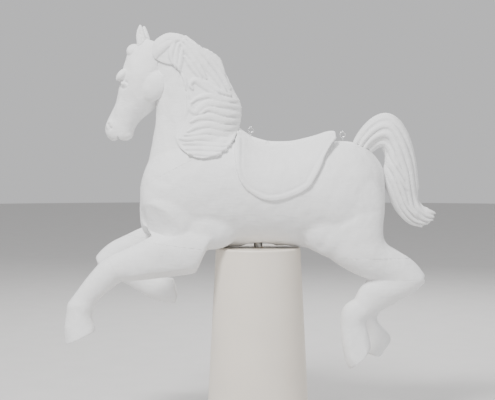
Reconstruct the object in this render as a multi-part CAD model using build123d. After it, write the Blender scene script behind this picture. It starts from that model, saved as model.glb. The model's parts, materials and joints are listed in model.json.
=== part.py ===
"""A ride horse on a drive column.

The horse is a carousel jumper, carved from glued wooden blocks round a hollow body. It stands on a steel post.
A motor in the tapered column turns a heart-shaped cam. The cam lifts the post, so the horse goes up and down.

Millimetres, +Z up. The origin is on the floor, on the post's axis. The horse faces -X, its left side is -Y.
"""

import os
from math import cos, pi, radians, sin

from build123d import *

# ---------------------------------------------------------------- overall sizes
FIGURE_LENGTH = 1145.0  # tail tip to fore hoof
FIGURE_WIDTH = 280.0  # across the barrel
COLUMN_HEIGHT = 560.0  # floor to the top of the cap
COLUMN_TOP_RADIUS = 131.0
COLUMN_TAPER = 0.052  # radius gained for each millimetre down
BELLY_GAP = 7.0  # cap to belly with the horse right down

# ---------------------------------------------------------------- column
COLUMN_WALL = 5.0
BASE_RADIUS = 200.0
BASE_THICK = 10.0
BASE_RING = (25.0, 6.0)  # height, wall
ANCHORS = (4, 180.0, 7.0)  # count, circle radius, hole radius
CABLE_HOLE_RADIUS = 20.0
CAP_THICK = 12.0
CAP_EDGE = 6.0
CAP_SPIGOT = (18.0, 6.0)  # height, wall
DROP_GAP = 0.3  # round pieces that drop into each other
PRESS_GAP = 0.02  # round pieces that are pressed, glued or welded in

# ---------------------------------------------------------------- tie rods
ROD_RADIUS = 6.0
ROD_CIRCLE = 104.0
ROD_ANGLES = (30.0, 150.0, 270.0)
NUT_FLATS = 19.0
NUT_THICK = 10.0
CAP_SCREW = (3.0, 30.0)  # radius, length
CAP_SCREW_HEAD = (6.0, 4.0)  # radius and height of the cone
CAP_SCREW_GAP = 0.05

# ---------------------------------------------------------------- post and its guides
POST_RADIUS = 13.45
POST_WALL = 3.2
POST_REACH = 46.0  # into the belly block, above the flange
RUNNING_GAP = 0.06
BUSH_WALL = 5.0
BUSH_LENGTH = 60.0
BOSS_WALL = 9.0
BULKHEAD_THICK = 10.0
BULKHEAD_GAP = 12.0  # over the fork's socket at the top of its travel
FLANGE_RADIUS = 48.0
FLANGE_THICK = 6.0
FLANGE_DEPTH = 12.0  # up into the belly block
FLANGE_SCREWS = (6, 34.0, 3.0, 40.0)  # count, circle radius, screw radius, length

# ---------------------------------------------------------------- cam drive
CAM_LIFT = 60.0  # over half a turn
CAM_LOW_RADIUS = 45.0  # shaft to roller with the horse down
CAM_THICK = 14.0
CAM_FLOOR_GAP = 27.0
CAM_HUB = (19.0, 10.0)  # radius, length
CAM_OVERRUN = 0.02  # share of half a turn that a flank is drawn past the tip
ROLLER_RADIUS = 14.0
ROLLER_GAP = 0.3
ROLLER_PIN_RADIUS = 6.0
SHAFT_RADIUS = 10.0
KEY_SIZE = 6.0
FORK_CHEEK = 8.0
FORK_WIDTH = 32.0
FORK_CROWN = 16.0
FORK_CROWN_GAP = 3.0  # over the roller
FORK_SIDE_GAP = 1.0  # each side of the roller and the cam
FORK_SOCKET = (20.0, 24.0)  # radius and depth of the post's socket
FORK_TOE = 12.0  # below the roller pin
CROSS_PIN_RADIUS = 4.0
ARM_THICK = 12.0
ARM_WIDTH = 30.0
ARM_EYE_WALL = 6.0
THIN_BUSH_WALL = 3.0
BEARING_BLOCK = (60.0, 20.0, 24.0)  # width, thickness, height over the shaft
BEARING_OFFSET = 40.0  # cam to the block's middle
GEARBOX = (80.0, 72.0, 80.0)
GEARBOX_OFFSET = 26.0  # cam to gearbox
GEARBOX_BORE_DEPTH = 60.0
GEARBOX_COVER = (34.0, 6.0)  # radius, thickness
MOTOR = (32.0, 84.0)  # radius, length
MOTOR_FLANGE = (70.0, 8.0)  # square, thickness
FAN_COVER = (34.0, 20.0)  # radius, height
STAND_SHEET = 6.0
STAND_FOOT = 24.0
STAND_SCREW = (4.0, 8.0, 5.0)  # shank radius, head radius, head height
BEARING_SCREW_PLACE = 20.0  # from the shaft's axis
BEARING_SCREW_REACH = 20.0  # up into the bearing block

# ---------------------------------------------------------------- wooden joints
BELLY_BLOCK_DEPTH = 72.0
CAVITY_TOP = 262.0  # the cavity's next three sizes are as the outlines are drawn
CAVITY_ENDS = (-215.0, 250.0)
CAVITY_HALF_WIDTH = 72.0
DOWEL_GAP = 0.1
LEG_DOWEL = (9.0, 74.0)  # each dowel has a radius and a length
KNEE_DOWEL = (7.0, 46.0)
NECK_DOWEL = (11.0, 110.0)
HEAD_DOWEL = (9.0, 80.0)
EAR_DOWEL = (4.0, 34.0)
TAIL_DOWEL = (10.0, 80.0)
LEG_SPREAD = 80.0  # middle of the body to the middle of a leg
LEG_DOWEL_SPREAD = 88.0
HOCK_LEVEL = -100.0  # where thigh and hind shin meet, as drawn
FOLDED_KNEE_LEVEL = -66.0
EAR_SPREAD = 22.0
HEAD_TURN = -12.0  # degrees, face turned to the horse's right

# ---------------------------------------------------------------- screw eyes
EYE_RING_RADIUS = 8.0
EYE_WIRE_RADIUS = 2.0
EYE_SHANK_LENGTH = 34.0
EYE_GAP = 0.08

# ---------------------------------------------------------------- worked out
DRAWN_LENGTH = 1145.0  # the size that the horse's outlines are drawn at
DRAWN_WIDTH = 280.0
SCALE = FIGURE_LENGTH / DRAWN_LENGTH
WIDEN = FIGURE_WIDTH / DRAWN_WIDTH
BELLY = COLUMN_HEIGHT + BELLY_GAP
SHAFT_HEIGHT = BASE_THICK + CAM_FLOOR_GAP + CAM_LOW_RADIUS + CAM_LIFT - ROLLER_RADIUS
ROLLER_HEIGHT = SHAFT_HEIGHT + CAM_LOW_RADIUS
CROWN_LOW = ROLLER_HEIGHT + ROLLER_RADIUS + FORK_CROWN_GAP
CROWN_TOP = CROWN_LOW + FORK_CROWN
BULKHEAD_LOW = CROWN_TOP + FORK_SOCKET[1] + CAM_LIFT + BULKHEAD_GAP
BULKHEAD_TOP = BULKHEAD_LOW + BULKHEAD_THICK
CAP_LOW = COLUMN_HEIGHT - CAP_THICK
BUSH_RADIUS = POST_RADIUS + BUSH_WALL
FORK_INSIDE = CAM_THICK / 2 + FORK_SIDE_GAP
FORK_OUTSIDE = FORK_INSIDE + FORK_CHEEK
ALL_X = (-FIGURE_LENGTH, FIGURE_LENGTH)
ALL_Y = (-FIGURE_WIDTH, FIGURE_WIDTH)

nodes = {}


# ================================================================ tools
def at(x, z, y=0.0):
    """A place on the horse: x from the post and z above the belly, as drawn."""
    return Vector(x * SCALE, y * WIDEN, BELLY + z * SCALE)


def carve(slices, side=0.0, turns=()):
    """A carved block through oval slices. A slice is its front edge, its back edge and half its width.

    A limb that bends far is made of stretches that share a slice: turns are those slices' numbers.
    """
    faces = []
    for front, back, half_width in slices:
        a, b = (Vector(x, side * WIDEN / SCALE, z) for x, z in (front, back))
        along = (b - a).normalized()
        plane = Plane(origin=(a + b) / 2, x_dir=along, z_dir=Vector(-along.Z, 0, along.X))
        faces.append(plane * Ellipse((b - a).length / 2, half_width * WIDEN / SCALE))
    ends = [0, *turns, len(slices) - 1]
    stretches = [loft(faces[start : end + 1]) for start, end in zip(ends, ends[1:])]
    return Pos(0, 0, BELLY) * scale(sum(stretches[1:], stretches[0]), by=SCALE)


def silhouette(curve, corners=()):
    """A side outline cut right through the horse: a smooth curve, closed by straight edges past the corners."""
    points = [at(x, z) for x, z in curve]
    if corners:
        edges = [Spline(*points), Polyline(points[-1], *[at(x, z) for x, z in corners], points[0])]
    else:
        edges = [Spline(*points, periodic=True)]
    return extrude(make_face(edges), FIGURE_WIDTH, dir=(0, 1, 0), both=True)


def rod(start, end, radius):
    """A round bar between two points."""
    start, end = Vector(start), Vector(end)
    plane = Plane(origin=start, z_dir=end - start)
    return plane * Cylinder(radius, (end - start).length, align=(Align.CENTER, Align.CENTER, Align.MIN))


def upright_bar(radius, low, high, x=0.0, y=0.0):
    return rod((x, y, low), (x, y, high), radius)


def cross_bar(radius, low, high, height):
    """A bar along Y, over the origin."""
    return rod((0, low, height), (0, high, height), radius)


def block(x_range, y_range, z_range):
    low, high = (Vector(*corner) for corner in zip(x_range, y_range, z_range))
    return Pos((low + high) / 2) * Box(*(high - low))


def over(shape, height):
    """The part of a block above a level of the horse."""
    return shape & block(ALL_X, ALL_Y, (at(0, height).Z, at(0, FIGURE_LENGTH).Z))


def under(shape, height):
    return shape & block(ALL_X, ALL_Y, (at(0, -FIGURE_LENGTH).Z, at(0, height).Z))


def pin(middle, along, size, gap=0.0):
    """A dowel of (radius, length) about its middle. With a gap it is the hole for that dowel."""
    radius, length = size
    half = Vector(*along).normalized() * (length / 2 + gap)
    return rod(Vector(middle) - half, Vector(middle) + half, radius + gap)


def main_solid(shape):
    """The piece that is left of a cut, without its chips."""
    return max(shape.solids(), key=lambda solid: solid.volume)


def group(shapes):
    """Like pieces in one node."""
    return Compound([main_solid(shape) for shape in shapes])


def on_circle(radius, angles):
    return [(radius * cos(radians(angle)), radius * sin(radians(angle))) for angle in angles]


def column_radius(height):
    return COLUMN_TOP_RADIUS + COLUMN_TAPER * (COLUMN_HEIGHT - height)


def tapered_disc(low, high, inset):
    """A disc that follows the column's taper, inset from its outside."""
    bottom = Pos(0, 0, low) * Circle(column_radius(low) - inset)
    top = Pos(0, 0, high) * Circle(column_radius(high) - inset)
    return loft([bottom, top])


# ================================================================ horse: the carved shapes
trunk = carve(
    [
        ((-362, 185), (-362, 112), 34),
        ((-350, 232), (-350, 62), 72),
        ((-322, 282), (-322, 25), 98),
        ((-265, 330), (-265, 4), 119),
        ((-180, 360), (-180, -3), 131),
        ((-68, 350), (-68, -2), 138),
        ((52, 316), (52, 0), 140),
        ((161, 314), (161, -10), 138),
        ((254, 322), (254, -26), 135),
        ((322, 306), (322, -10), 118),
        ((364, 272), (364, 22), 88),
        ((388, 222), (388, 88), 52),
    ]
)
neck = carve(
    [
        ((-335, 150), (-90, 245), 98),
        ((-345, 215), (-68, 315), 94),
        ((-335, 275), (-72, 372), 84),
        ((-321, 345), (-92, 440), 70),
        ((-314, 412), (-128, 515), 60),
        ((-314, 480), (-172, 578), 54),
        ((-326, 545), (-228, 624), 47),
    ]
)
poll = Axis(at(-280, 560), (0, 0, 1))
head = carve(
    [
        ((-354, 640), (-270, 612), 34),
        ((-382, 615), (-268, 572), 48),
        ((-411, 572), (-280, 528), 56),
        ((-427, 515), (-296, 474), 56),
        ((-440, 456), (-321, 424), 45),
        ((-460, 408), (-364, 388), 36),
        ((-478, 368), (-386, 358), 34),
        ((-477, 345), (-394, 340), 32),
        ((-466, 328), (-404, 326), 24),
    ]
).rotate(poll, HEAD_TURN)
EAR = [
    ((-368, 600), (-334, 594), 11),
    ((-374, 636), (-338, 632), 12),
    ((-374, 658), (-346, 660), 8),
    ((-364, 678), (-358, 679), 3),
]
left_ear = carve(EAR, -EAR_SPREAD).rotate(poll, HEAD_TURN)
right_ear = carve(EAR, EAR_SPREAD).rotate(poll, HEAD_TURN)
mane = carve(
    [
        ((-345, 150), (-60, 235), 112),
        ((-358, 215), (-40, 318), 108),
        ((-348, 275), (-42, 385), 98),
        ((-334, 345), (-38, 455), 84),
        ((-327, 412), (-60, 540), 74),
        ((-330, 480), (-92, 618), 68),
        ((-348, 560), (-170, 690), 60),
        ((-350, 600), (-225, 715), 46),
    ]
)
BIB = [
    ((-280, 350), (-280, 2), 126),
    ((-180, 372), (-180, -12), 141),
    ((-68, 362), (-68, -12), 148),
    ((-20, 350), (-20, -10), 148),
]
mane = mane + carve(BIB)
MANE_OUTLINE = [
    (-313, 632),
    (-273, 652),
    (-205, 648),
    (-112, 601),
    (-81, 518),
    (-54, 440),
    (-59, 363),
    (-112, 288),
    (-170, 270),
    (-218, 284),
    (-254, 329),
    (-230, 372),
    (-217, 434),
    (-223, 487),
    (-250, 545),
    (-300, 560),
    (-325, 590),
]
trimmed_mane = mane & silhouette(MANE_OUTLINE)
saddle = carve(
    [
        ((-80, 368), (-80, -4), 143),
        ((-34, 346), (-34, -6), 146),
        ((22, 324), (22, -6), 147),
        ((68, 321), (68, -8), 147),
        ((118, 326), (118, -10), 146),
        ((161, 336), (161, -14), 146),
        ((205, 350), (205, -20), 144),
        ((228, 354), (228, -24), 143),
        ((246, 346), (246, -28), 142),
    ]
)
SADDLE_EDGE = [(-67, 340), (-66, 230), (-37, 177), (31, 145), (100, 157), (146, 183), (192, 264), (236, 330)]
SADDLE_OVER = [(246, 420), (-67, 420)]  # corners above the back, where nothing is cut
tail = carve(
    [
        ((284, 300), (330, 254), 26),
        ((312, 356), (362, 296), 32),
        ((346, 392), (376, 300), 36),
        ((398, 408), (390, 292), 40),
        ((442, 382), (396, 264), 44),
        ((470, 326), (392, 234), 46),
        ((488, 250), (390, 194), 45),
        ((496, 184), (404, 146), 40),
        ((510, 122), (440, 92), 32),
        ((538, 106), (494, 56), 22),
        ((550, 98), (536, 66), 10),
    ],
    turns=(2, 4, 7),
)
left_forearm = carve(
    [
        ((-126, 68), (-193, -79), 46),
        ((-182, 68), (-218, -87), 48),
        ((-246, 60), (-257, -92), 46),
        ((-329, 31), (-322, -101), 42),
        ((-393, 0), (-377, -106), 37),
        ((-459, -32), (-416, -103), 35),
    ],
    -LEG_SPREAD,
)
left_fore_shin = carve(
    [
        ((-459, -32), (-416, -103), 35),
        ((-510, -77), (-463, -138), 31),
        ((-550, -129), (-491, -165), 29),
        ((-581, -173), (-504, -193), 32),
        ((-587, -212), (-508, -211), 31),
        ((-591, -253), (-501, -240), 35),
        ((-584, -301), (-500, -261), 39),
    ],
    -LEG_SPREAD,
    turns=(3,),
)
right_forearm = carve(
    [
        ((-244, 88), (-219, -50), 48),
        ((-305, 78), (-283, -60), 46),
        ((-363, 50), (-344, -62), 42),
        ((-445, 11), (-411, -87), 37),
        ((-512, -46), (-462, -125), 33),
    ],
    LEG_SPREAD,
)
right_fore_shin = carve(
    [
        ((-462, -10), (-508, -72), 32),
        ((-392, -64), (-424, -124), 30),
        ((-326, -99), (-364, -160), 29),
        ((-285, -111), (-313, -184), 34),
        ((-267, -109), (-248, -189), 38),
    ],
    LEG_SPREAD,
)
THIGH = [
    ((185, 29), (364, 127), 50),
    ((217, -34), (378, 70), 54),
    ((276, -73), (389, 11), 52),
    ((331, -97), (431, -18), 44),
    ((377, -113), (478, -50), 37),
    ((424, -146), (509, -90), 31),
]
left_thigh = carve(THIGH, -LEG_SPREAD)
right_thigh = carve(THIGH, LEG_SPREAD)
left_hind_shin = carve(
    [
        ((456, -28), (509, -106), 30),
        ((403, -69), (458, -149), 35),
        ((344, -97), (401, -180), 33),
        ((293, -160), (344, -218), 30),
        ((251, -209), (328, -236), 33),
        ((251, -250), (332, -258), 31),
        ((256, -301), (341, -295), 36),
        ((279, -374), (338, -319), 38),
    ],
    -LEG_SPREAD,
    turns=(3,),
)
right_hind_shin = carve(
    [
        ((462, -22), (510, -98), 28),
        ((420, -60), (476, -142), 34),
        ((350, -116), (420, -190), 32),
        ((326, -166), (388, -222), 30),
        ((320, -224), (382, -248), 32),
        ((334, -274), (415, -286), 31),
        ((345, -320), (417, -324), 36),
        ((360, -346), (401, -371), 36),
    ],
    LEG_SPREAD,
)

# ================================================================ horse: blocks, cut to meet each other
cavity_low, cavity_high = BELLY + BELLY_BLOCK_DEPTH, at(0, CAVITY_TOP).Z
cavity_x = [end * SCALE for end in CAVITY_ENDS]
cavity_y = [side * CAVITY_HALF_WIDTH * WIDEN for side in (-1, 1)]
walls = trunk & block(ALL_X, ALL_Y, (cavity_low, cavity_high))
walls -= block(cavity_x, cavity_y, (cavity_low, cavity_high))
horse = {
    "back_plank": over(trunk, CAVITY_TOP),
    "belly_block": trunk & block(ALL_X, ALL_Y, (0, cavity_low)),
    "body_left_side": walls & block(ALL_X, (-FIGURE_WIDTH, 0), (cavity_low, cavity_high)),
    "body_right_side": walls & block(ALL_X, (0, FIGURE_WIDTH), (cavity_low, cavity_high)),
    "neck_block": neck - trunk,
    "head_block": head - neck,
    "left_ear": left_ear - head,
    "right_ear": right_ear - head,
    "mane_block": trimmed_mane - trunk - neck - head,
    "saddle": (saddle & silhouette(SADDLE_EDGE, SADDLE_OVER)) - trunk - neck - trimmed_mane,
    "tail": tail - trunk,
    "left_forearm": left_forearm - trunk,
    "left_fore_shin": left_fore_shin,
    "right_forearm": over(right_forearm, FOLDED_KNEE_LEVEL) - trunk,
    "right_fore_shin": under(right_fore_shin, FOLDED_KNEE_LEVEL),
    "left_thigh": over(left_thigh, HOCK_LEVEL) - trunk,
    "left_hind_shin": under(left_hind_shin, HOCK_LEVEL),
    "right_thigh": over(right_thigh, HOCK_LEVEL) - trunk,
    "right_hind_shin": under(right_hind_shin, HOCK_LEVEL),
}

# ================================================================ horse: dowels
UP = (0, 0, 1)
leg_places = [
    (at(x, z, side), UP)
    for side in (-LEG_DOWEL_SPREAD, LEG_DOWEL_SPREAD)
    for x, z in ((-180, 44), (-235, 50), (282, 32), (322, 46))
]
knee_places = [
    (at(-437, -68, -LEG_SPREAD), (-0.87, 0, -0.49)),
    (at(-432, FOLDED_KNEE_LEVEL, LEG_SPREAD), UP),
    (at(430, HOCK_LEVEL, -LEG_SPREAD), UP),
    (at(430, HOCK_LEVEL, LEG_SPREAD), UP),
]
ear_places = [
    (poll.position + (at(-354, 626, side) - poll.position).rotate(Axis.Z, HEAD_TURN), (-0.1, 0, 1))
    for side in (-EAR_SPREAD, EAR_SPREAD)
]
bodies_wood = ["belly_block", "body_left_side", "body_right_side"]
upper_legs = ["left_forearm", "right_forearm", "left_thigh", "right_thigh"]
lower_legs = ["left_fore_shin", "right_fore_shin", "left_hind_shin", "right_hind_shin"]
dowels = {
    "leg_dowels": (LEG_DOWEL, leg_places, bodies_wood + upper_legs),
    "knee_dowels": (KNEE_DOWEL, knee_places, upper_legs + lower_legs),
    "neck_dowels": (NECK_DOWEL, [(at(-250, 335), UP), (at(-165, 358), UP)], ["back_plank", "neck_block"]),
    "head_dowel": (HEAD_DOWEL, [(at(-322, 548), (-1, 0, -0.1))], ["neck_block", "head_block"]),
    "ear_dowels": (EAR_DOWEL, ear_places, ["head_block", "left_ear", "right_ear"]),
    "tail_dowel": (TAIL_DOWEL, [(at(325, 303), (0.5, 0, 0.86))], ["back_plank", "tail"]),
}
for name, (size, places, blocks) in dowels.items():
    for middle, along in places:
        for wood in blocks:
            horse[wood] = horse[wood] - pin(middle, along, size, DOWEL_GAP)
    nodes[name] = group([pin(middle, along, size) for middle, along in places])

# ================================================================ horse: post, flange and screws
flange_low = BELLY + FLANGE_DEPTH
flange_top = flange_low + FLANGE_THICK
post_top = flange_top + POST_REACH
post = upright_bar(POST_RADIUS, CROWN_TOP, post_top) - upright_bar(POST_RADIUS - POST_WALL, CROWN_TOP, post_top)
flange = upright_bar(FLANGE_RADIUS, flange_low, flange_top)
flange -= upright_bar(POST_RADIUS + PRESS_GAP, flange_low, flange_top)
recess = upright_bar(FLANGE_RADIUS + DROP_GAP, COLUMN_HEIGHT - CAM_LIFT, flange_top)
recess += upright_bar(POST_RADIUS + DROP_GAP, flange_low, post_top)
screw_count, screw_circle, screw_radius, screw_length = FLANGE_SCREWS
head_low = flange_low - screw_radius
screws = []
for x, y in on_circle(screw_circle, [360 * i / screw_count for i in range(screw_count)]):
    flange -= upright_bar(screw_radius + PRESS_GAP, flange_low, flange_top, x, y)
    recess += upright_bar(screw_radius + PRESS_GAP, flange_low, head_low + screw_length, x, y)
    screw = upright_bar(screw_radius, head_low, head_low + screw_length, x, y)
    screws.append(screw + upright_bar(2 * screw_radius, head_low, flange_low, x, y))
nodes["post_flange"] = flange
nodes["flange_screws"] = group(screws)
horse["belly_block"] = horse["belly_block"] - recess

# ================================================================ horse: screw eyes in the back
EYES = {"front_screw_eye": (-23, 356), "rear_screw_eye": (261, 342)}
for name, place in EYES.items():
    middle = at(*place)
    ring_low = middle - Vector(0, 0, EYE_RING_RADIUS)
    point = ring_low - Vector(0, 0, EYE_SHANK_LENGTH)
    ring = Plane(origin=middle, z_dir=(0, 1, 0)) * Torus(EYE_RING_RADIUS, EYE_WIRE_RADIUS)
    nodes[name] = ring + rod(ring_low, point, EYE_WIRE_RADIUS)
    for wood in ("back_plank", "saddle"):
        horse[wood] = horse[wood] - rod(middle, point - Vector(0, 0, 1), EYE_WIRE_RADIUS + EYE_GAP)
nodes.update({name: main_solid(wood) for name, wood in horse.items()})

# ================================================================ column: base, shell and cap
base_plate = upright_bar(BASE_RADIUS, 0, BASE_THICK) - upright_bar(CABLE_HOLE_RADIUS, 0, BASE_THICK)
anchor_count, anchor_circle, anchor_radius = ANCHORS
for x, y in on_circle(anchor_circle, [45 + 360 * i / anchor_count for i in range(anchor_count)]):
    base_plate -= upright_bar(anchor_radius, 0, BASE_THICK, x, y)
ring_height, ring_wall = BASE_RING
ring_top = BASE_THICK + ring_height
ring_radius = column_radius(ring_top) - COLUMN_WALL - DROP_GAP
base_ring = upright_bar(ring_radius, BASE_THICK, ring_top)
nodes["base_ring"] = base_ring - upright_bar(ring_radius - ring_wall, BASE_THICK, ring_top)
nodes["column_shell"] = tapered_disc(BASE_THICK, CAP_LOW, 0) - tapered_disc(BASE_THICK, CAP_LOW, COLUMN_WALL)

cap = upright_bar(column_radius(CAP_LOW), CAP_LOW, COLUMN_HEIGHT)
cap = fillet(cap.edges().group_by(Axis.Z)[-1], CAP_EDGE)
spigot_height, spigot_wall = CAP_SPIGOT
spigot_radius = column_radius(CAP_LOW) - COLUMN_WALL - DROP_GAP
cap += upright_bar(spigot_radius, CAP_LOW - spigot_height, CAP_LOW) - upright_bar(
    spigot_radius - spigot_wall, CAP_LOW - spigot_height, CAP_LOW
)
top_bush_low = COLUMN_HEIGHT - BUSH_LENGTH
cap += upright_bar(BUSH_RADIUS + BOSS_WALL, top_bush_low, CAP_LOW)
cap -= upright_bar(BUSH_RADIUS + PRESS_GAP, top_bush_low, COLUMN_HEIGHT)

# ================================================================ column: bulkhead, bushes and tie rods
lower_bush_top = BULKHEAD_LOW + BUSH_LENGTH
bulkhead = tapered_disc(BULKHEAD_LOW, BULKHEAD_TOP, COLUMN_WALL + DROP_GAP)
bulkhead += upright_bar(BUSH_RADIUS + BOSS_WALL, BULKHEAD_TOP, lower_bush_top)
bulkhead -= upright_bar(BUSH_RADIUS + PRESS_GAP, BULKHEAD_LOW, lower_bush_top)
for name, low in (("top_bush", top_bush_low), ("lower_bush", BULKHEAD_LOW)):
    bore = upright_bar(POST_RADIUS + RUNNING_GAP, low, low + BUSH_LENGTH)
    nodes[name] = upright_bar(BUSH_RADIUS, low, low + BUSH_LENGTH) - bore

cap_screw_radius, cap_screw_length = CAP_SCREW
cone_radius, cone_height = CAP_SCREW_HEAD
cap_screw_low = COLUMN_HEIGHT - cap_screw_length
tie_rods, nuts, cap_screws = [], [], []
for x, y in on_circle(ROD_CIRCLE, ROD_ANGLES):
    rod_hole = upright_bar(ROD_RADIUS + PRESS_GAP, 0, BULKHEAD_TOP, x, y)
    base_plate -= rod_hole
    bulkhead -= rod_hole
    tapping = upright_bar(cap_screw_radius + CAP_SCREW_GAP, cap_screw_low - 1, COLUMN_HEIGHT, x, y)
    tie_rods.append(upright_bar(ROD_RADIUS, 0, CAP_LOW, x, y) - tapping)
    cone_place = Pos(x, y, COLUMN_HEIGHT - cone_height / 2)
    cap -= tapping
    cap -= cone_place * Cone(cap_screw_radius + CAP_SCREW_GAP, cone_radius + CAP_SCREW_GAP, cone_height)
    cap_screw = upright_bar(cap_screw_radius, cap_screw_low, COLUMN_HEIGHT, x, y)
    cap_screws.append(cap_screw + cone_place * Cone(cap_screw_radius, cone_radius, cone_height))
    for low in (BULKHEAD_LOW - NUT_THICK, BULKHEAD_TOP):
        nut = RegularPolygon(NUT_FLATS / 2, 6, major_radius=False) - Circle(ROD_RADIUS + PRESS_GAP)
        nuts.append(Pos(x, y, low) * extrude(nut, NUT_THICK))
nodes["tie_rods"] = group(tie_rods)
nodes["bulkhead_nuts"] = group(nuts)
nodes["cap_screws"] = group(cap_screws)
nodes["column_cap"] = cap
nodes["bulkhead"] = bulkhead

# ================================================================ drive: fork, roller and guide arm
half_fork = FORK_WIDTH / 2
socket_radius, socket_depth = FORK_SOCKET
socket_top = CROWN_TOP + socket_depth
fork = block((-half_fork, half_fork), (-FORK_OUTSIDE, FORK_OUTSIDE), (ROLLER_HEIGHT - FORK_TOE, CROWN_TOP))
fork -= block((-half_fork, half_fork), (-FORK_INSIDE, FORK_INSIDE), (ROLLER_HEIGHT - FORK_TOE, CROWN_LOW))
fork += upright_bar(socket_radius, CROWN_TOP, socket_top) - upright_bar(
    POST_RADIUS + PRESS_GAP, CROWN_TOP, socket_top
)
fork -= cross_bar(ROLLER_PIN_RADIUS + PRESS_GAP, -FORK_OUTSIDE, FORK_OUTSIDE, ROLLER_HEIGHT)
cross_hole = cross_bar(CROSS_PIN_RADIUS + PRESS_GAP, -socket_radius, socket_radius, CROWN_TOP + socket_depth / 2)
nodes["fork"] = fork - cross_hole
nodes["post"] = post - cross_hole
nodes["cross_pin"] = cross_bar(
    CROSS_PIN_RADIUS, -POST_RADIUS - POST_WALL, POST_RADIUS + POST_WALL, CROWN_TOP + socket_depth / 2
)
nodes["roller_pin"] = cross_bar(ROLLER_PIN_RADIUS, -FORK_OUTSIDE, FORK_OUTSIDE, ROLLER_HEIGHT)
roller = cross_bar(ROLLER_RADIUS, -CAM_THICK / 2, CAM_THICK / 2, ROLLER_HEIGHT)
nodes["roller"] = roller - cross_bar(
    ROLLER_PIN_RADIUS + RUNNING_GAP, -CAM_THICK / 2, CAM_THICK / 2, ROLLER_HEIGHT
)

arm_low = (CROWN_LOW + CROWN_TOP - ARM_THICK) / 2
arm_high = arm_low + ARM_THICK
guide_radius = ROD_RADIUS + THIN_BUSH_WALL
arm = block((-ARM_WIDTH / 2, ARM_WIDTH / 2), (-ROD_CIRCLE, -FORK_OUTSIDE), (arm_low, arm_high))
arm += upright_bar(guide_radius + ARM_EYE_WALL, arm_low, arm_high, 0, -ROD_CIRCLE)
nodes["guide_arm"] = arm - upright_bar(guide_radius + PRESS_GAP, arm_low, arm_high, 0, -ROD_CIRCLE)
guide_bush = upright_bar(guide_radius, arm_low, arm_high, 0, -ROD_CIRCLE)
nodes["guide_bush"] = guide_bush - upright_bar(ROD_RADIUS + RUNNING_GAP, arm_low, arm_high, 0, -ROD_CIRCLE)


# ================================================================ drive: heart cam and shaft
def heart_flank():
    """Half of the heart, drawn upright: the spiral that the roller's middle climbs, less the roller."""
    reach = ROLLER_RADIUS + ROLLER_GAP
    climb = CAM_LIFT / pi
    steps = 24
    points = []
    for i in range(steps + 1):
        turn = pi * (1 + CAM_OVERRUN) * i / steps
        radius = CAM_LOW_RADIUS + climb * turn
        along = Vector(climb * sin(turn) + radius * cos(turn), climb * cos(turn) - radius * sin(turn))
        outward = Vector(-along.Y, along.X).normalized()
        points.append(Vector(radius * sin(turn), radius * cos(turn)) - outward * reach)
    rest = Vector(0, CAM_LOW_RADIUS)
    dip = rest - Vector(0, reach)
    dip_side = rest + ((dip + points[0]) / 2 - rest).normalized() * reach
    closing = Polyline(points[-1], (-reach, points[-1].Y), (-reach, 0), (0, 0), dip)
    return make_face([ThreePointArc(dip, dip_side, points[0]), Spline(*points), closing])


hub_radius, hub_length = CAM_HUB
cam_plane = Plane(origin=(0, CAM_THICK / 2, SHAFT_HEIGHT), x_dir=(1, 0, 0), z_dir=(0, -1, 0))
flank = extrude(cam_plane * heart_flank(), CAM_THICK, dir=(0, -1, 0))
cam_reach = 2 * (CAM_LOW_RADIUS + CAM_LIFT)
cam_span = (SHAFT_HEIGHT - cam_reach, SHAFT_HEIGHT + cam_reach)
half_cam = flank & block((0, cam_reach), (-CAM_THICK, CAM_THICK), cam_span)
cam = half_cam + mirror(half_cam, Plane.YZ)
cam += cross_bar(hub_radius, CAM_THICK / 2, CAM_THICK / 2 + hub_length, SHAFT_HEIGHT)
key = block(
    (-KEY_SIZE / 2, KEY_SIZE / 2),
    (-CAM_THICK / 2, CAM_THICK / 2 + hub_length),
    (SHAFT_HEIGHT + SHAFT_RADIUS - KEY_SIZE / 2, SHAFT_HEIGHT + SHAFT_RADIUS + KEY_SIZE / 2),
)
cam -= cross_bar(SHAFT_RADIUS + PRESS_GAP, -CAM_THICK, CAM_THICK + hub_length, SHAFT_HEIGHT)
bearing_width, bearing_thick, bearing_rise = BEARING_BLOCK
bearing_y = (-BEARING_OFFSET - bearing_thick / 2, -BEARING_OFFSET + bearing_thick / 2)
shaft = cross_bar(SHAFT_RADIUS, bearing_y[0], GEARBOX_OFFSET + GEARBOX_BORE_DEPTH - 1, SHAFT_HEIGHT)
nodes["cam"] = cam - key
nodes["cam_shaft"] = shaft - key
nodes["cam_key"] = key

# ================================================================ drive: outboard bearing
bush_radius = SHAFT_RADIUS + THIN_BUSH_WALL
half_bearing = bearing_width / 2
bearing = block((-half_bearing, half_bearing), bearing_y, (BASE_THICK, SHAFT_HEIGHT + bearing_rise))
bearing -= cross_bar(bush_radius + PRESS_GAP, *bearing_y, SHAFT_HEIGHT)
outboard_bush = cross_bar(bush_radius, *bearing_y, SHAFT_HEIGHT)
nodes["outboard_bush"] = outboard_bush - cross_bar(SHAFT_RADIUS + RUNNING_GAP, *bearing_y, SHAFT_HEIGHT)
shank_radius, head_radius, head_height = STAND_SCREW
bearing_screws = []
for x in (-BEARING_SCREW_PLACE, BEARING_SCREW_PLACE):
    tapping = upright_bar(shank_radius + PRESS_GAP, 0, BASE_THICK + BEARING_SCREW_REACH, x, -BEARING_OFFSET)
    base_plate -= tapping
    bearing -= tapping
    bearing_screws.append(upright_bar(shank_radius, 1, BASE_THICK + BEARING_SCREW_REACH, x, -BEARING_OFFSET))
nodes["bearing_block"] = bearing
nodes["bearing_screws"] = group(bearing_screws)

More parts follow.
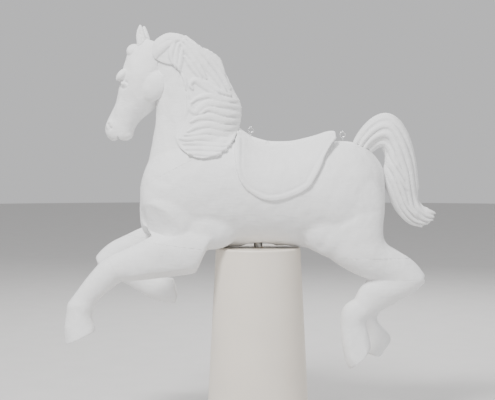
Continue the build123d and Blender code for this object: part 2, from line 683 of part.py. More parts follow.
# ================================================================ drive: gearbox, motor and stand
gear_x, gear_y, gear_z = GEARBOX
half_gear = gear_x / 2
gear_low, gear_high = SHAFT_HEIGHT - gear_z / 2, SHAFT_HEIGHT + gear_z / 2
gear_range = (GEARBOX_OFFSET, GEARBOX_OFFSET + gear_y)
gearbox = block((-half_gear, half_gear), gear_range, (gear_low, gear_high))
nodes["gearbox"] = gearbox - cross_bar(
    SHAFT_RADIUS + RUNNING_GAP, GEARBOX_OFFSET, GEARBOX_OFFSET + GEARBOX_BORE_DEPTH, SHAFT_HEIGHT
)
cover_radius, cover_thick = GEARBOX_COVER
nodes["gearbox_cover"] = cross_bar(cover_radius, gear_range[1], gear_range[1] + cover_thick, SHAFT_HEIGHT)

motor_y = GEARBOX_OFFSET + gear_y / 2
flange_size, flange_thick = MOTOR_FLANGE
motor_radius, motor_length = MOTOR
motor_low = gear_high + flange_thick
fan_low = motor_low + motor_length
fan_radius, fan_height = FAN_COVER
motor = Pos(0, motor_y, gear_high + flange_thick / 2) * Box(flange_size, flange_size, flange_thick)
nodes["motor"] = motor + upright_bar(motor_radius, motor_low, fan_low, 0, motor_y)
nodes["motor_fan_cover"] = upright_bar(fan_radius, fan_low, fan_low + fan_height, 0, motor_y)

stand = block((-half_gear, half_gear), gear_range, (BASE_THICK, gear_low))
inside = half_gear - STAND_SHEET
stand -= block((-inside, inside), gear_range, (BASE_THICK, gear_low - STAND_SHEET))
foot_top = BASE_THICK + STAND_SHEET
stand_screws = []
for side in (-1, 1):
    foot_x = sorted((side * half_gear, side * (half_gear + STAND_FOOT)))
    stand += block(foot_x, gear_range, (BASE_THICK, foot_top))
    for y in (gear_range[0] + STAND_FOOT / 2, gear_range[1] - STAND_FOOT / 2):
        x = side * (half_gear + STAND_FOOT / 2)
        tapping = upright_bar(shank_radius + PRESS_GAP, 0, foot_top, x, y)
        base_plate -= tapping
        stand -= tapping
        head = upright_bar(head_radius, foot_top, foot_top + head_height, x, y)
        stand_screws.append(upright_bar(shank_radius, 1, foot_top, x, y) + head)
nodes["gearbox_stand"] = stand
nodes["stand_screws"] = group(stand_screws)
nodes["base_plate"] = base_plate

# ================================================================ output
os.makedirs("parts", exist_ok=True)
for name, shape in nodes.items():
    export_step(shape, f"parts/{name}.step")
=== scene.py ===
"""A primed carousel horse on its drive column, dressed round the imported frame. Metres, in the same frame."""

import json
import math

import bmesh
import bpy
import numpy as np
from mathutils import Matrix, Vector, noise


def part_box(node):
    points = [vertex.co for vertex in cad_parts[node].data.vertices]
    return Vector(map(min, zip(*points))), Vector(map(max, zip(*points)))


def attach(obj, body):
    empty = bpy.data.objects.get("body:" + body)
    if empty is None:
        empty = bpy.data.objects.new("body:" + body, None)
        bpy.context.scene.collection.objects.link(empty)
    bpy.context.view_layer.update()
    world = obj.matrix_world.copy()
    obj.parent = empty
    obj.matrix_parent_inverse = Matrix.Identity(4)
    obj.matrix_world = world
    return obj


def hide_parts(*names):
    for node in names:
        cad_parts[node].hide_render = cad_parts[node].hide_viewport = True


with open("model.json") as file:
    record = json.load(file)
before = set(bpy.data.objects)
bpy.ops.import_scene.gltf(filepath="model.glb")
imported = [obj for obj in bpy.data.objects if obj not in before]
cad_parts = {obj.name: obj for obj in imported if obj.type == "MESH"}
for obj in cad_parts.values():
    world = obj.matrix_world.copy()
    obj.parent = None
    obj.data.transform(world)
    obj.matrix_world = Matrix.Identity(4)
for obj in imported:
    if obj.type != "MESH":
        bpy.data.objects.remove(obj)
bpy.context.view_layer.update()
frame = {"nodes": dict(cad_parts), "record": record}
nodes = frame["nodes"]


# ---------------------------------------------------------------- paint and metal
# The wood is sealed with matt white primer, brushed on. The column is cream satin paint over steel, and the
# works inside it are plain machined steel, bronze bushes and grey enamelled castings.
class Wire:
    """One output of a shader node. Arithmetic on it adds Math nodes."""

    def __init__(self, finish, socket):
        self.finish, self.socket = finish, socket

    def maths(self, operation, first, second):
        return self.finish.add("ShaderNodeMath", {"operation": operation}, {0: first, 1: second})

    def __add__(self, other):
        return self.maths("ADD", self, other)

    def __mul__(self, other):
        return self.maths("MULTIPLY", self, other)

    def __sub__(self, other):
        return self.maths("SUBTRACT", self, other)

    def __rsub__(self, other):
        return self.maths("SUBTRACT", other, self)

    __radd__, __rmul__ = __add__, __mul__


class Finish:
    """A material, and the nodes that make it."""

    def __init__(self, name):
        self.material = bpy.data.materials.new(name)
        self.material.use_nodes = True
        self.tree = self.material.node_tree
        self.shader = self.tree.nodes["Principled BSDF"]

    def add(self, kind, settings=(), sockets=(), output=0):
        node = self.tree.nodes.new(kind)
        for name, value in dict(settings).items():
            if name == "stops":
                for stop, (place, tone) in zip(node.color_ramp.elements, value):
                    stop.position, stop.color = place, (tone, tone, tone, 1)
            else:
                setattr(node, name, value)
        self.join(node, sockets)
        return Wire(self, node.outputs[output])

    def join(self, node, sockets):
        for name, value in dict(sockets).items():
            if isinstance(value, Wire):
                self.tree.links.new(value.socket, node.inputs[name])
            else:
                node.inputs[name].default_value = value

    def place(self, scale=(1, 1, 1)):
        """The place on the piece, stretched."""
        coordinates = self.add("ShaderNodeTexCoord", output="Object")
        return self.add("ShaderNodeMapping", (), {"Vector": coordinates, "Scale": scale})

    def grain(self, size, detail=3.0, stretch=(1, 1, 1)):
        """Noise with lumps of that size in metres."""
        sockets = {"Vector": self.place(stretch), "Scale": 1 / size, "Detail": detail}
        return self.add("ShaderNodeTexNoise", (), sockets)

    def mix(self, factor, first, second):
        settings = {"data_type": "RGBA"}
        return self.add("ShaderNodeMix", settings, {"Factor": factor, 6: first, 7: second}, output=2)

    def bump(self, height, depth, normal=None):
        sockets = {"Height": height, "Distance": depth, "Strength": 1.0}
        if normal:
            sockets["Normal"] = normal
        return self.add("ShaderNodeBump", (), sockets)


def dress(piece, finish):
    piece.data.materials.clear()
    piece.data.materials.append(finish.material)


def primer():
    """Matt white primer: faint brush marks, painted shade greying the hollows, a slightly warmer thin coat."""
    finish = Finish("matt white primer")
    cloud = finish.grain(0.09, 2.0)
    hollow_shade = finish.add("ShaderNodeAttribute", {"attribute_name": "hollow_shade"}, output="Fac")
    coat = finish.mix(cloud, (0.80, 0.795, 0.785, 1), (0.86, 0.865, 0.875, 1))
    # Painted shade: the primer is mixed towards grey where the skin is hollow, standing in for shadow in the
    # cuts.
    coat = finish.mix(hollow_shade * 0.75, coat, (0.50, 0.50, 0.515, 1))
    strokes = finish.grain(0.006, 4.0, (0.18, 0.5, 1.0))
    speckle = finish.grain(0.0016, 2.0)
    gouges = finish.grain(0.028, 1.0, (1.0, 1.0, 0.7))
    normal = finish.bump(gouges, 0.0035)
    normal = finish.bump(strokes * 0.8 + speckle * 0.2, 0.0012, normal)
    finish.join(finish.shader, {"Base Color": coat, "Roughness": 0.62 + 0.2 * cloud, "Normal": normal})
    return finish


def paint(name, colour, roughness, orange_peel=0.00012):
    """Sprayed paint over metal, a little uneven."""
    finish = Finish(name)
    cloud = finish.grain(0.12, 3.0)
    dark = tuple(0.90 * channel for channel in colour) + (1,)
    coat = finish.mix(cloud, dark, colour + (1,))
    normal = finish.bump(finish.grain(0.004, 1.0), orange_peel)
    finish.join(finish.shader, {"Base Color": coat, "Roughness": roughness + 0.12 * cloud, "Normal": normal})
    return finish


def metal(name, colour, roughness, stretch=(1, 1, 8)):
    """Machined or drawn metal, with fine marks across it."""
    finish = Finish(name)
    marks = finish.grain(0.004, 4.0, stretch)
    dark = tuple(0.78 * channel for channel in colour) + (1,)
    coat = finish.mix(marks, dark, colour + (1,))
    sockets = {"Base Color": coat, "Metallic": 1.0, "Roughness": roughness + 0.2 * marks}
    sockets["Normal"] = finish.bump(marks, 0.00008)
    finish.join(finish.shader, sockets)
    return finish


def dowel_wood():
    finish = Finish("bare dowel wood")
    grain = finish.grain(0.003, 4.0, (1, 1, 0.12))
    tone = finish.mix(grain, (0.42, 0.27, 0.14, 1), (0.68, 0.50, 0.31, 1))
    finish.join(finish.shader, {"Base Color": tone, "Roughness": 0.7, "Normal": finish.bump(grain, 0.0002)})
    return finish


def moulded_plastic():
    finish = Finish("black moulded plastic")
    grain = finish.grain(0.0012, 2.0)
    tone = finish.mix(grain, (0.03, 0.03, 0.033, 1), (0.06, 0.06, 0.065, 1))
    finish.join(finish.shader, {"Base Color": tone, "Roughness": 0.5, "Normal": finish.bump(grain, 0.0001)})
    return finish


white = primer()
finishes = {
    "primed_wood": white,
    "dowel_wood": dowel_wood(),
    "eye_steel": metal("zinc plated wire", (0.80, 0.80, 0.80), 0.22),
    "post_steel": metal("ground steel tube", (0.55, 0.54, 0.52), 0.28),
    "column_paint": paint("cream satin paint", (0.80, 0.735, 0.645), 0.34),
    "machine_paint": paint("grey machine enamel", (0.23, 0.28, 0.31), 0.42, 0.0004),
    "drive_steel": metal("machined steel", (0.50, 0.50, 0.51), 0.36, (1, 6, 6)),
    "fastener_steel": metal("zinc plated fastener", (0.62, 0.62, 0.63), 0.30),
    "bronze": metal("sintered bronze", (0.62, 0.43, 0.20), 0.45),
    "fan_plastic": moulded_plastic(),
}
for part in frame["record"]["subparts"]:
    dress(nodes[part["node"]], finishes[part["material_slot"]])


# ---------------------------------------------------------------- the carved horse
# Glued blocks of softwood, carved by hand into one flowing body, sanded, and primed over the joints. Trunk,
# neck and legs are fused here as one skin, then parted where the blocks are doweled together.
MM = 0.001
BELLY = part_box("post_flange")[0].z - 12 * MM
SKIN_GRAIN = 3.2 * MM
NEAR, FAR = -1, 1  # the horse's left side faces the front


def spot(x, z, y=0.0):
    """A place on the horse from millimetres: x from the post, z above the belly."""
    return Vector((x * MM, y * MM, BELLY + z * MM))


def only(piece):
    """Selects one piece and makes it active."""
    bpy.ops.object.select_all(action="DESELECT")
    piece.select_set(True)
    bpy.context.view_layer.objects.active = piece


def copy_of(name, *names):
    """One new piece from CAD nodes' meshes, their loose triangles merged."""
    bpy.ops.object.select_all(action="DESELECT")
    for node in names:
        copy = bpy.data.objects.new(name, nodes[node].data.copy())
        bpy.context.scene.collection.objects.link(copy)
        copy.select_set(True)
        bpy.context.view_layer.objects.active = copy
    bpy.ops.object.join()
    piece = bpy.context.view_layer.objects.active
    piece.name = piece.data.name = name
    bpy.ops.object.mode_set(mode="EDIT")
    bpy.ops.mesh.select_all(action="SELECT")
    bpy.ops.mesh.remove_doubles(threshold=0.01 * MM)
    bpy.ops.object.mode_set(mode="OBJECT")
    return piece


def worked(piece, kind, **settings):
    """Adds a modifier and applies it."""
    only(piece)
    modifier = piece.modifiers.new(kind.title(), kind)
    for name, value in settings.items():
        setattr(modifier, name, value)
    bpy.ops.object.modifier_apply(modifier=modifier.name)


def fused(piece, grain, rounds):
    """Fuses a piece's overlapping lumps into one skin, and sands it."""
    worked(piece, "REMESH", mode="VOXEL", voxel_size=grain)
    worked(piece, "SMOOTH", factor=0.5, iterations=rounds)


def lump(piece, middle, radii, lean=0.0):
    """A ball of wood to be fused into the piece, leaning in side view by degrees."""
    bpy.ops.object.select_all(action="DESELECT")
    bpy.ops.mesh.primitive_uv_sphere_add(segments=24, ring_count=14, radius=MM)
    ball = bpy.context.view_layer.objects.active
    tilt = Matrix.Rotation(math.radians(lean), 4, "Y")
    ball.data.transform(Matrix.Translation(middle) @ tilt @ Matrix.Diagonal((*radii, 1)))
    piece.select_set(True)
    bpy.context.view_layer.objects.active = piece
    bpy.ops.object.join()


def skin_of(piece):
    """The places and normals of a piece's points, and the places as x, y, z on the horse in millimetres."""
    count = len(piece.data.vertices)
    places, normals = np.empty(count * 3), np.empty(count * 3)
    piece.data.vertices.foreach_get("co", places)
    piece.data.vertex_normals.foreach_get("vector", normals)
    places, normals = places.reshape(-1, 3), normals.reshape(-1, 3)
    x, y, z = ((places - (0, 0, BELLY)) / MM).T
    return places, normals, x, y, z


def push(piece, heights):
    """Moves a piece's points out along their normals, by millimetres."""
    places, normals = skin_of(piece)[:2]
    piece.data.vertices.foreach_set("co", (places + normals * (heights * MM)[:, None]).ravel())
    piece.data.update()


def flowing(points, steps=6):
    """A smooth line through given points."""
    points = np.array(points, float)
    ends = [2 * points[0] - points[1], *points, 2 * points[-1] - points[-2]]
    line = []
    for a, b, c, d in zip(ends, ends[1:], ends[2:], ends[3:]):
        for t in np.arange(steps) / steps:
            bend = (2 * a - 5 * b + 4 * c - d) * t**2 + (3 * b - a - 3 * c + d) * t**3
            line.append(b + 0.5 * ((c - a) * t + bend))
    return np.array([*line, points[-1]])


def off_line(x, z, points):
    """How far each place is off a line in side view, signed across it, and its share of the way along."""
    line = flowing(points)
    near, sign, share = np.full(len(x), 1e9), np.ones(len(x)), np.zeros(len(x))
    for i, (start, end) in enumerate(zip(line, line[1:])):
        run = end - start
        px, pz = x - start[0], z - start[1]
        t = np.clip((px * run[0] + pz * run[1]) / (run @ run), 0, 1)
        away = np.hypot(px - t * run[0], pz - t * run[1])
        closer = away < near
        near[closer] = away[closer]
        sign[closer] = np.sign(run[0] * pz - run[1] * px)[closer]
        share[closer] = ((i + t) / (len(line) - 1))[closer]
    return near, sign, share


def locks(x, z, paths, crown, strand=4.6):
    """The height of carved locks of hair: each is a rounded ridge with finer strands cut along it."""
    height = np.zeros(len(x))
    for width, *points in paths:
        away, sign, share = off_line(x, z, points)
        half = width * np.clip(0.45 + 2.2 * share, 0, 1) * np.clip(1.12 - 0.75 * share**2, 0, 1)
        ridge = np.sqrt(np.clip(1 - (away / half) ** 2, 0, 1))
        fine = 0.11 * np.cos(2 * math.pi * (away * sign / strand + 0.25)) * (ridge > 0)
        height = np.maximum(height, ridge + fine * np.clip(ridge * 2, 0, 1))
    return crown * height


def groove(x, z, points, width, depth):
    """A cut along a line in side view."""
    away, _, share = off_line(x, z, points)
    return -depth * np.exp(-((away / width) ** 2)) * np.clip(6 * share, 0, 1) * np.clip(6 * (1 - share), 0, 1)


def hand_cut(piece, depth, size):
    """The shallow flats that a spokeshave and a rasp leave."""
    places = skin_of(piece)[0]
    flats = [noise.noise(Vector(place) / (size * MM)) for place in places]
    push(piece, depth * np.array(flats))


def shade_hollows(piece, reach=2):
    """Marks how hollow the skin is at each point, for the shade painted into the primer in the cuts."""
    places, normals = skin_of(piece)[:2]
    edges = np.empty(len(piece.data.edges) * 2, int)
    piece.data.edges.foreach_get("vertices", edges)
    a, b = edges.reshape(-1, 2).T
    run = places[b] - places[a]
    run /= np.linalg.norm(run, axis=1)[:, None] + 1e-9
    total = len(places)
    count = np.bincount(a, minlength=total) + np.bincount(b, minlength=total) + 1e-9
    hollow_shade = np.bincount(a, (run * normals[a]).sum(1), total)
    hollow_shade -= np.bincount(b, (run * normals[b]).sum(1), total)
    hollow_shade /= count
    for _ in range(reach):
        beside = np.bincount(a, hollow_shade[b], total) + np.bincount(b, hollow_shade[a], total)
        hollow_shade = 0.5 * hollow_shade + 0.5 * beside / count
    mark = piece.data.attributes.new("hollow_shade", "FLOAT", "POINT")
    mark.data.foreach_set("value", np.clip(hollow_shade * 4.5 - 0.1, 0, 1))


def part_off(piece, name, middle, facing, where=None):
    """Saws off what lies beyond a plane, only where asked, as a new closed piece. The rest is closed too."""
    whole = bmesh.new()
    whole.from_mesh(piece.data)
    faces = [face for face in whole.faces if where is None or where(face.calc_center_median())]
    corners = {corner for face in faces for corner in face.verts}
    sides = {side for face in faces for side in face.edges}
    bmesh.ops.bisect_plane(whole, geom=[*faces, *sides, *corners], plane_co=middle, plane_no=facing)
    new = bpy.data.objects.new(name, bpy.data.meshes.new(name))
    bpy.context.scene.collection.objects.link(new)
    for target, beyond in ((new, True), (piece, False)):
        half = whole.copy()
        gone = []
        for face in half.faces:
            centre = face.calc_center_median()
            is_beyond = (centre - middle).dot(facing) > 0 and (where is None or where(centre))
            if is_beyond != beyond:
                gone.append(face)
        bmesh.ops.delete(half, geom=gone, context="FACES")
        rim = [side for side in half.edges if side.is_boundary]
        caps = bmesh.ops.holes_fill(half, edges=rim, sides=0)["faces"]
        bmesh.ops.triangulate(half, faces=caps)
        half.to_mesh(target.data)
        half.free()
    whole.free()
    return new


def shave(piece, flats):
    """Planes flats on a piece: what stands beyond a flat, within its reach in millimetres, is cut to it."""
    places, normals = skin_of(piece)[:2]
    for middle, facing, reach in flats:
        facing = np.array(facing, float) / np.linalg.norm(facing)
        off = places - np.array(middle)
        beyond = np.maximum(off @ facing, 0)
        near = np.clip(2.2 * (1 - np.linalg.norm(off, axis=1) / (reach * MM)), 0, 1)
        places = places - facing * (beyond * near)[:, None]
    piece.data.vertices.foreach_set("co", places.ravel())
    piece.data.update()


def sanded(piece, middle, reach, rounds):
    """Sands one region of a piece smooth."""
    places = skin_of(piece)[0]
    near = np.clip(2 * (1 - np.linalg.norm(places - np.array(middle), axis=1) / (reach * MM)), 0, 1)
    region = piece.vertex_groups.new(name="region")
    for level in range(1, 11):
        chosen = np.nonzero(np.round(near * 10) == level)[0]
        region.add(chosen.tolist(), level / 10, "REPLACE")
    worked(piece, "SMOOTH", factor=0.5, iterations=rounds, vertex_group="region")
    piece.vertex_groups.clear()


def carved(piece, *replaced):
    """Marks where shade is painted in a finished wooden piece's hollows, primes it and puts it in place of its
    blocks.
    """
    shade_hollows(piece)
    joined(piece, *replaced)


def joined(piece, *replaced):
    only(piece)
    bpy.ops.object.shade_smooth()
    dress(piece, white)
    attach(piece, "horse")
    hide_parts(*replaced)


trunk = copy_of("trunk", "back_plank", "belly_block", "body_left_side", "body_right_side", "neck_block",
                "left_forearm", "left_fore_shin", "right_forearm", "right_fore_shin",
                "left_thigh", "left_hind_shin", "right_thigh", "right_hind_shin")
for side in (NEAR, FAR):
    lump(trunk, spot(-255, 96, 76 * side), (92, 46, 96), -24)  # shoulder
    lump(trunk, spot(-296, 150, 58 * side), (58, 46, 88), 8)  # point of the shoulder
    lump(trunk, spot(-152, 58, 74 * side), (92, 46, 66), 8)  # elbow, flush with the barrel
    lump(trunk, spot(286, 130, 72 * side), (98, 56, 122), -14)  # haunch
    lump(trunk, spot(232, 34, 76 * side), (110, 52, 70), 24)  # stifle
    lump(trunk, spot(196, 8, 62 * side), (64, 44, 28), 14)  # flank
lump(trunk, spot(-330, 120, 0), (36, 62, 92), 4)  # breast
fused(trunk, SKIN_GRAIN, 20)
for side in (NEAR, FAR):
    sanded(trunk, spot(-140, 40, 110 * side), 130, 50)
    sanded(trunk, spot(215, 30, 110 * side), 140, 50)
    sanded(trunk, spot(378, 60, 80 * side), 70, 20)
places, normals, x, y, z = skin_of(trunk)
cuts = np.full(len(x), 1.0)
FLANK_FOLD = [(176, -8), (198, 18), (214, 58)]
CHEST_FOLD = [(-338, 230), (-300, 204), (-262, 190)]
THROAT_FOLD = [(-290, 520), (-282, 430), (-266, 330), (-262, 240)]
for fold, width, depth in ((FLANK_FOLD, 14, 3.0), (CHEST_FOLD, 14, 2.0), (THROAT_FOLD, 16, 3.0)):
    cuts += groove(x, z, fold, width, depth) * (abs(y) > 30)
push(trunk, cuts)
hand_cut(trunk, 1.6, 46)
LEG_FLATS = [
    (spot(-300, -84, -92), (0.10, -0.42, -0.90), 150),  # under the near forearm
    (spot(-345, -66, -122), (0.05, -0.98, -0.10), 110),
    (spot(-340, 22, -96), (-0.22, -0.62, 0.75), 110),
    (spot(-545, -276, -80), (0.41, 0.0, -0.91), 75),  # the hooves' soles
    (spot(312, -346, -80), (0.68, 0.0, -0.73), 75),
    (spot(382, -360, 80), (0.52, 0.0, -0.85), 62),
    (spot(-251, -152, 80), (0.97, 0.0, -0.24), 70),
    (spot(-546, -246, -116), (-0.10, -0.98, 0.10), 70),  # the hooves' sides
    (spot(-546, -246, -44), (-0.10, 0.98, 0.10), 70),
    (spot(300, -330, -114), (0.0, -0.98, 0.05), 70),
    (spot(380, -330, 114), (0.0, 0.98, 0.05), 60),
]
shave(trunk, LEG_FLATS)
shade_hollows(trunk)

FORE_CUT = (spot(-235, 3), Vector((-0.13, 0, -0.99)))
neck = part_off(trunk, "neck", spot(-208, 262), Vector((-0.46, 0, 0.888)))
for side, near in (("left", True), ("right", False)):
    def on_side(place):
        return (place.y < 0) == near

    shin_cut = (spot(-437, -68), Vector((-0.87, 0, -0.49))) if near else (spot(-432, -66), Vector((0, 0, -1)))
    forearm = part_off(trunk, f"{side}_foreleg", *FORE_CUT, lambda place: on_side(place) and place.x < -0.06)
    fore_shin = part_off(forearm, f"{side}_lower_foreleg", *shin_cut)
    thigh = part_off(
        trunk, f"{side}_hind_leg", spot(300, -34), Vector((0, 0, -1)),
        lambda place: on_side(place) and place.x > 0,
    )
    hind_shin = part_off(thigh, f"{side}_lower_hind_leg", spot(430, -100), Vector((0, 0, -1)))
    joined(forearm, f"{side}_forearm")
    joined(fore_shin, f"{side}_fore_shin")
    joined(thigh, f"{side}_thigh")
    joined(hind_shin, f"{side}_hind_shin")
joined(neck, "neck_block")
joined(trunk, "back_plank", "belly_block", "body_left_side", "body_right_side")


# ---------------------------------------------------------------- head and ears
# The head is a block of its own, turned a little to the horse's right when it was doweled on. The mouth, the
# nostrils and the brows are cut into it, and the ears are leaves of wood with a hollow gouged down each.
HEAD_TURN = math.radians(-12)
POLL = spot(-280, 560)
turned = Matrix.Translation(POLL) @ Matrix.Rotation(HEAD_TURN, 4, "Z") @ Matrix.Translation(-POLL)
straight = turned.inverted()

head = copy_of("head", "head_block")
head.data.transform(straight)
for side in (NEAR, FAR):
    lump(head, spot(-322, 494, 33 * side), (46, 24, 52), 10)  # jowl
    lump(head, spot(-416, 524, 32 * side), (25, 20, 14), -50)  # brow
    lump(head, spot(-407, 499, 36 * side), (11, 13, 10))  # eyeball
    lump(head, spot(-453, 372, 19 * side), (18, 14, 22), 25)  # nostril wing
    lump(head, spot(-418, 440, 25 * side), (14, 12, 62), 22)  # face ridge
lump(head, spot(-451, 343), (19, 27, 21), 20)  # upper lip
lump(head, spot(-414, 341), (24, 25, 18), -8)  # lower lip and chin
lump(head, spot(-384, 598), (24, 40, 24), 20)
lump(head, spot(-393, 572), (17, 32, 40), 16)  # forelock, down on the forehead
for across, drop, lean in ((-22, 26, 24), (-7, 8, 12), (9, 0, 18), (24, 20, 22)):
    lump(head, spot(-396 - drop / 8, 584 - drop, across), (11, 8, 32), lean)  # forelock
bpy.ops.object.select_all(action="DESELECT")
bpy.ops.mesh.primitive_cone_add(vertices=4, radius1=8 * MM, radius2=0.6 * MM, depth=46 * MM)
mouth = bpy.context.view_layer.objects.active
slot = Matrix.Rotation(-HEAD_TURN, 4, "Z") @ Matrix.Diagonal((0.9, 12, 1, 1))
mouth.data.transform(Matrix.Translation(spot(-437, 334)) @ slot)
mouth.location = (0, 0, 0)
worked(head, "REMESH", mode="VOXEL", voxel_size=1.9 * MM)
worked(head, "BOOLEAN", object=mouth, operation="DIFFERENCE", solver="EXACT")
bpy.data.objects.remove(mouth)
fused(head, 1.9 * MM, 6)
places, normals, x, y, z = skin_of(head)
NOSTRIL = [(-462, 380), (-458, 366), (-449, 358)]
UNDER_BROW = [(-437, 502), (-420, 507), (-402, 505), (-390, 496)]
UNDER_EYE = [(-424, 488), (-408, 483), (-394, 489)]
cuts = groove(x, z, NOSTRIL, 5, 5.0) * (abs(y) > 12)
cuts += groove(x, z, UNDER_BROW, 3.5, 4.0) * (abs(y) > 20)
cuts += groove(x, z, UNDER_EYE, 3.5, 2.0) * (abs(y) > 20)
push(head, cuts)
hand_cut(head, 0.9, 30)
head.data.transform(turned)
carved(head, "head_block")

for side, name in ((NEAR, "left_ear"), (FAR, "right_ear")):
    ear = copy_of(name.replace("_", "_carved_"), name)
    fused(ear, 1.4 * MM, 5)
    ear.data.transform(straight)
    places, normals, x, y, z = skin_of(ear)
    away, sign, share = off_line(x, z, [(-356, 606), (-359, 635), (-361, 664)])
    bowl = np.clip(1 - (away / 9) ** 2, 0, 1) * np.clip(4 * share, 0, 1) * np.clip(5 * (1 - share), 0, 1)
    push(ear, -5.0 * bowl * (normals[:, 1] * side > 0.1))
    places, normals, x, y, z = skin_of(ear)
    slim = 1 - 0.22 * np.clip((z - 612) / 50, 0, 1)
    places[:, 0] = (-357 + (x + 357) * slim) * MM
    ear.data.vertices.foreach_set("co", places.ravel())
    ear.data.transform(turned)
    carved(ear, name)


# ---------------------------------------------------------------- mane
# A block glued over the crest and both sides of the neck, carved in locks that sweep back from the poll, curl
# at their tips and end in a rounded bib in front of the saddle.
MANE_LOCKS = [
    (15, (-246, 632), (-286, 612), (-318, 586), (-331, 563), (-318, 548), (-300, 545)),
    (13, (-308, 612), (-284, 634), (-252, 638), (-230, 624)),
    (9, (-256, 620), (-266, 588), (-262, 556)),
    (8, (-243, 618), (-250, 582), (-252, 548), (-244, 520)),
    (8, (-232, 606), (-236, 570), (-242, 540), (-236, 520)),
    (10, (-236, 620), (-206, 580), (-176, 538), (-160, 512)),
    (9, (-224, 578), (-196, 540), (-172, 508)),
    (11, (-228, 630), (-196, 594), (-156, 546), (-120, 502), (-98, 468)),
    (11, (-220, 642), (-186, 606), (-146, 568), (-112, 524), (-86, 482)),
    (12, (-214, 646), (-176, 626), (-138, 606), (-112, 586)),
    (12, (-168, 612), (-134, 576), (-108, 544), (-84, 506)),
    (10, (-196, 508), (-172, 494), (-140, 472), (-104, 446)),
    (10, (-86, 462), (-128, 478), (-168, 500), (-196, 506), (-208, 492), (-200, 479)),
    (10, (-60, 446), (-104, 448), (-150, 460), (-186, 452), (-204, 438)),
    (12, (-56, 424), (-108, 434), (-150, 438), (-174, 426), (-192, 410), (-208, 422), (-208, 440)),
    (10, (-54, 402), (-104, 408), (-150, 420), (-178, 404)),
    (11, (-56, 384), (-104, 384), (-146, 396), (-184, 392), (-206, 380)),
    (11, (-58, 364), (-104, 362), (-148, 372), (-186, 366), (-214, 352)),
    (10, (-64, 346), (-110, 344), (-152, 352), (-190, 344), (-224, 340)),
    (10, (-76, 328), (-120, 328), (-170, 333), (-214, 328), (-240, 330)),
    (8, (-86, 312), (-132, 312), (-180, 316), (-228, 314)),
    (8, (-96, 298), (-136, 298), (-180, 301), (-220, 298)),
    (8, (-112, 284), (-150, 284), (-188, 286), (-212, 284)),
    (8, (-222, 470), (-216, 440), (-222, 405), (-230, 380)),
    (8, (-238, 528), (-226, 500), (-224, 468)),
]
BIB = [(-250, 332), (-226, 296), (-186, 274), (-144, 276), (-104, 298), (-78, 330)]
CREST = [(-330, 600), (-300, 640), (-262, 654), (-205, 650), (-140, 616), (-104, 578), (-80, 520), (-54, 440),
         (-58, 370), (-84, 322)]
CREST_LUMPS = [(-279, 616, 32), (-213, 604, 32), (-132, 552, 26), (-106, 488, 26), (-84, 432, 30),
               (-84, 372, 26)]
CREST_DIPS = [  # flats that the crest is cut back to, between one lock and the next
    (spot(-242, 634), (0.10, 0, 0.99), 62),
    (spot(-160, 600), (0.48, 0, 0.88), 125),
    (spot(-109, 545), (0.97, 0, 0.25), 80),
    (spot(-80, 478), (0.90, 0, 0.43), 60),
]
mane = copy_of("mane", "mane_block")
for across, up, size in CREST_LUMPS:
    lump(mane, spot(across, up), (size, 40, 0.8 * size), 40)
fused(mane, 2.6 * MM, 8)
shave(mane, CREST_DIPS)
worked(mane, "SMOOTH", factor=0.5, iterations=4)
places, normals, x, y, z = skin_of(mane)
inward = np.clip(off_line(x, z, CREST)[0] / 22, 0.25, 1)
relief = (locks(x, z, MANE_LOCKS, 5.2) - 2.2) * inward
relief += 2.5 * np.exp(-((off_line(x, z, BIB)[0] / 5) ** 2))
push(mane, relief)
worked(mane, "SMOOTH", factor=0.5, iterations=1)
carved(mane, "mane_block")


# ---------------------------------------------------------------- tail
# Softwood, carved from a block of its own and doweled into the rump, then primed with the rest. It arches up,
# falls in twisting locks and curls out at the tip.
TAIL_LOCKS = [
    (11, (288, 290), (316, 346), (360, 388), (402, 398), (442, 368), (472, 312), (488, 250), (494, 190),
     (508, 134), (530, 108), (550, 98)),
    (10, (298, 278), (328, 330), (368, 366), (406, 368), (434, 334), (456, 284), (470, 232), (478, 178),
     (492, 124), (520, 94), (546, 86)),
    (10, (310, 266), (338, 314), (372, 340), (402, 338), (424, 300), (442, 256), (456, 212), (464, 162),
     (478, 112), (512, 80), (542, 78)),
    (9, (324, 258), (350, 292), (380, 312), (402, 296), (416, 262), (436, 232), (456, 196)),
    (10, (388, 300), (398, 262), (414, 236), (438, 204), (458, 172)),
    (9, (392, 262), (398, 226), (416, 188), (432, 148), (452, 108), (484, 76), (524, 66)),
    (9, (394, 236), (394, 204), (408, 168), (424, 128), (446, 92), (474, 68), (508, 58)),
    (8, (412, 236), (428, 200), (446, 160), (462, 118), (488, 88)),
]
tail = copy_of("carved_tail", "tail")
fused(tail, 2.4 * MM, 8)
places, normals, x, y, z = skin_of(tail)
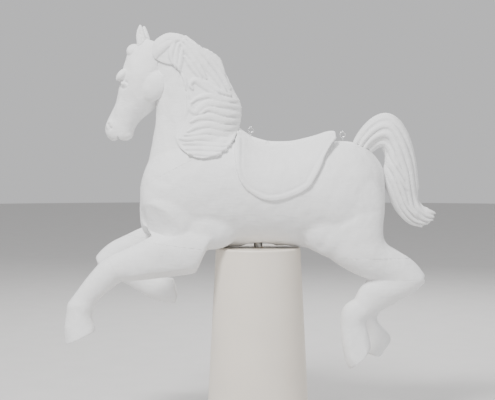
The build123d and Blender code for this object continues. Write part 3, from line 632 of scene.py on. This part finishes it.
push(tail, locks(x, z, TAIL_LOCKS, 6.0) - 3.0)
worked(tail, "SMOOTH", factor=0.5, iterations=1)
carved(tail, "tail")


# ---------------------------------------------------------------- saddle
# Softwood, carved in relief and primed: a seat with a high cantle, and a flap on each side. A narrow cut
# inside the flap's edge leaves its rim standing.
SADDLE_RIM = [(-64, 330), (-64, 228), (-36, 179), (0, 158), (32, 149), (84, 158), (144, 187), (156, 206),
              (190, 264), (232, 328)]
saddle = copy_of("carved_saddle", "saddle")
fused(saddle, 2.6 * MM, 7)
places, normals, x, y, z = skin_of(saddle)
away = off_line(x, z, SADDLE_RIM)[0]
push(saddle, 1.5 * np.exp(-((away - 3) / 5) ** 2) - 1.2 * np.exp(-((away - 13) / 4) ** 2))
hand_cut(saddle, 1.2, 40)
carved(saddle, "saddle")


# ---------------------------------------------------------------- floor, light and camera
bpy.ops.object.camera_add(location=(-0.10, -4.0, 0.90))
camera = bpy.context.view_layer.objects.active
camera.rotation_euler = (Vector((-0.033, 0, 0.7065)) - camera.location).to_track_quat("-Z", "Y").to_euler()
camera.data.lens = 94
bpy.context.scene.camera = camera
bpy.ops.mesh.primitive_circle_add(radius=14, fill_type="NGON", vertices=96)
floor = bpy.context.view_layer.objects.active
floor.name = "floor"
dress(floor, paint("pale floor", (0.62, 0.61, 0.60), 0.8))
world = bpy.data.worlds.new("studio")
bpy.context.scene.world = world
world.use_nodes = True
world.node_tree.nodes["Background"].inputs["Color"].default_value = (0.80, 0.80, 0.81, 1)
world.node_tree.nodes["Background"].inputs["Strength"].default_value = 0.8
LIGHTS = (((-1.6, -2.6, 4.2), 330, 1.2), ((3.2, -3.0, 1.6), 40, 1.6), ((0.8, 3.0, 3.0), 120, 1.5))
for place, power, size in LIGHTS:
    bpy.ops.object.light_add(type="AREA", location=place)
    light = bpy.context.view_layer.objects.active
    light.data.energy, light.data.size = power, size
    light.rotation_euler = (Vector((0, 0, 0.8)) - light.location).to_track_quat("-Z", "Y").to_euler()
